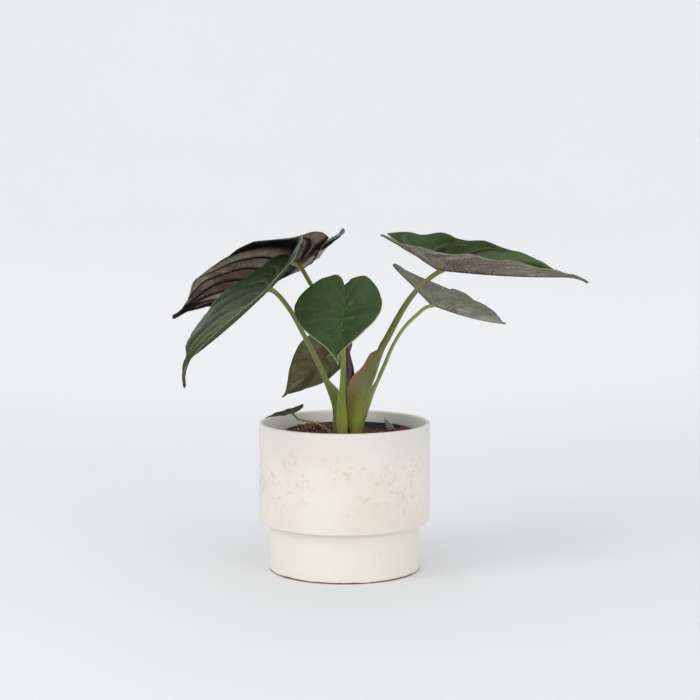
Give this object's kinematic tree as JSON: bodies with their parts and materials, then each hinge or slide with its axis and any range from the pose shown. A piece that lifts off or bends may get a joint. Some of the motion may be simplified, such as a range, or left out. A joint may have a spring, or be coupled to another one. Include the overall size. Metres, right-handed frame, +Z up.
{
  "type": "potted alocasia",
  "caption": "Potted alocasia with broad arrow-shaped leaves on sheathed stalks, in a plastic nursery pot of soil set in a stepped cream stoneware planter.",
  "frame": {"origin": "centre of the planter's foot, on the plane that it stands on", "axes": "+Z up, -Y to the front, +X to the right of the front, along the widest spread of the leaves"},
  "size_m": [0.3645, 0.2315, 0.2959],
  "materials": {
    "stoneware": "matte cream glaze with fine brown specks",
    "black_plastic": "moulded black plastic, slightly shiny",
    "soil": "loose moist bark and coir mix",
    "rootstock": "rough corky skin",
    "stalk": "smooth fleshy green stalk with a soft shine",
    "blade": "leathery leaf, dark green above and grey to maroon below",
    "rolled_leaf": "dark maroon young leaf with a soft shine",
    "shoot": "pale grey-green sheath with a soft bloom"
  },
  "bodies": {
    "root": {"planter": "stoneware", "nursery_pot": "black_plastic", "soil": "soil", "rootstock": "rootstock", "stalk_back_left": "stalk", "blade_back_left": "blade", "stalk_front_left": "stalk", "blade_front_left": "blade", "stalk_front": "stalk", "blade_front": "blade", "stalk_right": "stalk", "blade_right": "blade", "stalk_back_right": "stalk", "blade_back_right": "blade", "stalk_low": "stalk", "blade_low": "blade", "stalk_tiny": "stalk", "blade_tiny": "blade", "rolled_leaf": "rolled_leaf", "side_shoot": "shoot"}
  },
  "joints": []
}
